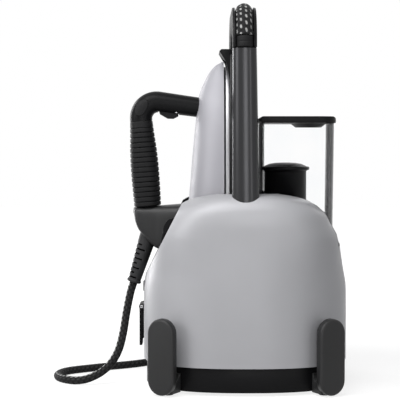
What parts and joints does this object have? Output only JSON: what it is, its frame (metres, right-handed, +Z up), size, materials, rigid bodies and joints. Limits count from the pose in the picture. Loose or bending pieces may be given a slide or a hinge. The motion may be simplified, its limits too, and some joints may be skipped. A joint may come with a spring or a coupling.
{
  "type": "garment steamer",
  "caption": "Steam station: grey base with boiler, black corner feet, arched carrying handle, clear lift-out water tank and an iron parked upright on a braided steam hose.",
  "frame": {"origin": "on the floor, under the middle of the object's bounding box without its free hose", "axes": "+X from the parked iron towards the water tank, +Y to the back, +Z up"},
  "size_m": [0.3521, 0.3479, 0.448],
  "materials": {
    "shell_grey": "satin",
    "cover_grey": "satin",
    "black_plastic": "satin",
    "column_dark": "satin",
    "black_rubber": "matte",
    "aluminium": "satin",
    "steel": "satin",
    "brass": "satin",
    "clear_plastic": "gloss",
    "textile": "matte",
    "board": "matte",
    "silicone": "matte"
  },
  "bodies": {
    "base": {"base_pan": "black_plastic", "front_shell": "shell_grey", "rear_shell": "shell_grey", "tank_bay": "black_plastic", "iron_dock": "black_plastic", "column_front": "column_dark", "column_rear": "column_dark", "handle_bow": "black_plastic", "bow_plug_front": "black_rubber", "bow_plug_rear": "black_rubber", "rope_grip": "textile", "rest_plate": "black_plastic", "foot_front_left": "black_plastic", "foot_front_right": "black_plastic", "foot_rear_left": "black_plastic", "foot_rear_right": "black_plastic", "pad_front_left": "black_rubber", "pad_front_right": "black_rubber", "pad_rear_left": "black_rubber", "pad_rear_right": "black_rubber", "boiler": "steel", "thermostat": "black_plastic", "safety_valve": "brass", "pump": "black_plastic", "pump_mount": "black_rubber", "steam_valve": "black_plastic", "control_board": "board", "water_tube": "silicone", "feed_tube": "silicone", "steam_tube": "silicone", "outlet_tube": "silicone", "tank_seat": "silicone", "hose_gland": "black_rubber", "mains_gland": "black_rubber", "power_switch": "black_plastic", "flap_pin": "steel", "drain_neck": "brass", "hose_run": "textile", "hose_coil": "textile", "hose_tail": "textile", "coil_tie": "textile"},
    "iron": {"iron_cover": "cover_grey", "soleplate": "aluminium", "heat_shield": "black_plastic", "iron_casting": "aluminium", "handle_arm": "black_plastic", "grip_sleeve": "black_rubber", "heel_block": "black_plastic", "trigger_pin": "steel", "hose_boot": "black_rubber"},
    "steam_trigger": {"steam_trigger": "black_rubber"},
    "thumb_button": {"thumb_button": "black_plastic"},
    "tank": {"tank": "clear_plastic", "tank_valve": "black_rubber", "filter_cartridge": "black_plastic", "lid_pin": "steel"},
    "tank_lid": {"tank_lid": "black_plastic"},
    "power_button": {"power_button": "black_plastic"},
    "drain_flap": {"drain_flap": "black_plastic"},
    "drain_plug": {"drain_plug": "black_plastic"}
  },
  "joints": [
    {"name": "iron_lift", "type": "slide", "parent": "base", "child": "iron", "axis": [-0.876, 0, 0.4823], "range_m": [0, 0.15]},
    {"name": "trigger_pull", "type": "hinge", "parent": "iron", "child": "steam_trigger", "pos_m": [-0.0735, 0, 0.324], "axis": [0, 1, 0], "range_deg": [0, 4], "stiffness_Nm_per_rad": 0.3},
    {"name": "thumb_press", "type": "slide", "parent": "iron", "child": "thumb_button", "axis": [0, 1, 0], "range_m": [0, 0.0018], "stiffness_N_per_m": 200},
    {"name": "tank_lift", "type": "slide", "parent": "base", "child": "tank", "axis": [0, 0, 1], "range_m": [0, 0.15]},
    {"name": "lid_hinge", "type": "hinge", "parent": "tank", "child": "tank_lid", "pos_m": [0.0289, 0, 0.3144], "axis": [0, -1, 0], "range_deg": [0, 80]},
    {"name": "power_press", "type": "slide", "parent": "base", "child": "power_button", "axis": [1, 0, 0], "range_m": [0, 0.0025], "stiffness_N_per_m": 300},
    {"name": "flap_hinge", "type": "hinge", "parent": "base", "child": "drain_flap", "pos_m": [-0.1159, 0.02, 0.0899], "axis": [0, 1, 0], "range_deg": [0, 110]},
    {"name": "drain_turn", "type": "hinge", "parent": "base", "child": "drain_plug", "pos_m": [-0.1112, 0.02, 0.066], "axis": [1, 0, 0], "continuous": true}
  ]
}
